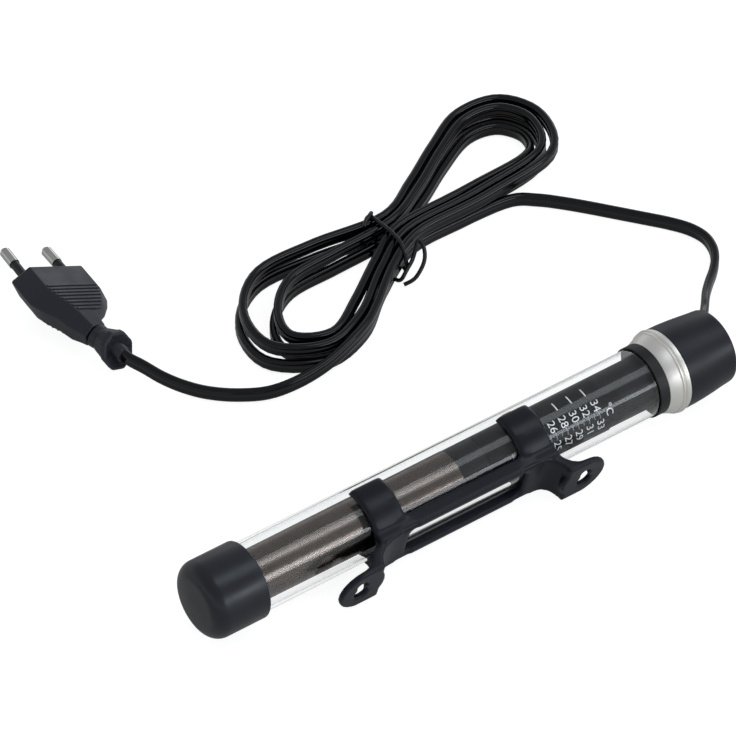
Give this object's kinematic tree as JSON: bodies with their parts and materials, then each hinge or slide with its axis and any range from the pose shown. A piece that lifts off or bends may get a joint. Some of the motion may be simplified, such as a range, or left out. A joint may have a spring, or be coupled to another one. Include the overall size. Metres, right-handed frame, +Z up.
{
  "type": "submersible aquarium heater",
  "caption": "Submersible aquarium heater: capped glass tube with a metal heating sleeve and a thermostat scale, a clip-on wall bracket, and a flat mains cord tied in a hank with a two-pin plug.",
  "frame": {"origin": "middle of the heater's box at its lowest level, under the glass tube with its bracket; the cord, its hank and the plug are left out of that box", "axes": "+X along the glass tube towards the top cap, +Y from the bracket towards the cord, +Z up"},
  "size_m": [0.2644, 0.2143, 0.0311],
  "materials": {
    "glass": "clear",
    "cap_rubber": "satin",
    "cushion_rubber": "matte",
    "sleeve_metal": "satin",
    "mica": "matte",
    "ceramic": "matte",
    "resistance_wire": "satin",
    "carrier_plastic": "gloss",
    "scale_print": "gloss",
    "pointer_red": "gloss",
    "screw_brass": "satin",
    "knob_plastic": "matte",
    "seal_rubber": "satin",
    "bimetal": "satin",
    "spring_metal": "satin",
    "contact_silver": "polished",
    "magnet": "satin",
    "wire_sheath": "matte",
    "stopper_rubber": "satin",
    "collar_aluminium": "satin",
    "cap_plastic": "satin",
    "grommet_rubber": "satin",
    "cord_jacket": "gloss",
    "tie_plastic": "matte",
    "plug_vinyl": "satin",
    "pin_nickel": "polished",
    "sleeve_plastic": "satin",
    "bracket_plastic": "satin"
  },
  "bodies": {
    "heater": {"glass_tube": "glass", "bottom_cap": "cap_rubber", "bottom_cushion": "cushion_rubber", "heat_sleeve": "sleeve_metal", "core_washers": "mica", "ceramic_core": "ceramic", "heating_coil": "resistance_wire", "thermostat_carrier": "carrier_plastic", "scale_card": "scale_print", "knob_seal": "seal_rubber", "bimetal_strip": "bimetal", "fixed_contact": "spring_metal", "contact_points": "contact_silver", "contact_magnet": "magnet", "lead_wires": "wire_sheath", "tube_stopper": "stopper_rubber", "seal_ring": "seal_rubber", "collar": "collar_aluminium", "top_cap": "cap_plastic", "cord_grommet": "grommet_rubber", "cord_lead": "cord_jacket", "cord_hank": "cord_jacket", "cord_tail": "cord_jacket", "twist_tie": "tie_plastic", "plug_body": "plug_vinyl", "plug_boot": "plug_vinyl", "plug_pins": "pin_nickel", "pin_sleeves": "sleeve_plastic"},
    "knob": {"setting_knob": "knob_plastic", "setting_screw": "screw_brass"},
    "pointer": {"setting_pointer": "pointer_red"},
    "bracket": {"bracket": "bracket_plastic"}
  },
  "joints": [
    {"name": "knob_turn", "type": "hinge", "parent": "heater", "child": "knob", "pos_m": [0.10948, -0.0005, 0.01555], "axis": [1, 0, 0], "range_deg": [-360, 720]},
    {"name": "pointer_slide", "type": "slide", "parent": "heater", "child": "pointer", "axis": [1, 0, 0], "range_m": [-0.015, 0.03]},
    {"name": "bracket_slide", "type": "slide", "parent": "heater", "child": "bracket", "axis": [1, 0, 0], "range_m": [-0.035, 0.04]}
  ],
  "couplings": [
    {"joint": "pointer_slide", "follows": "knob_turn", "m_per_rad": 0.0023873}
  ]
}
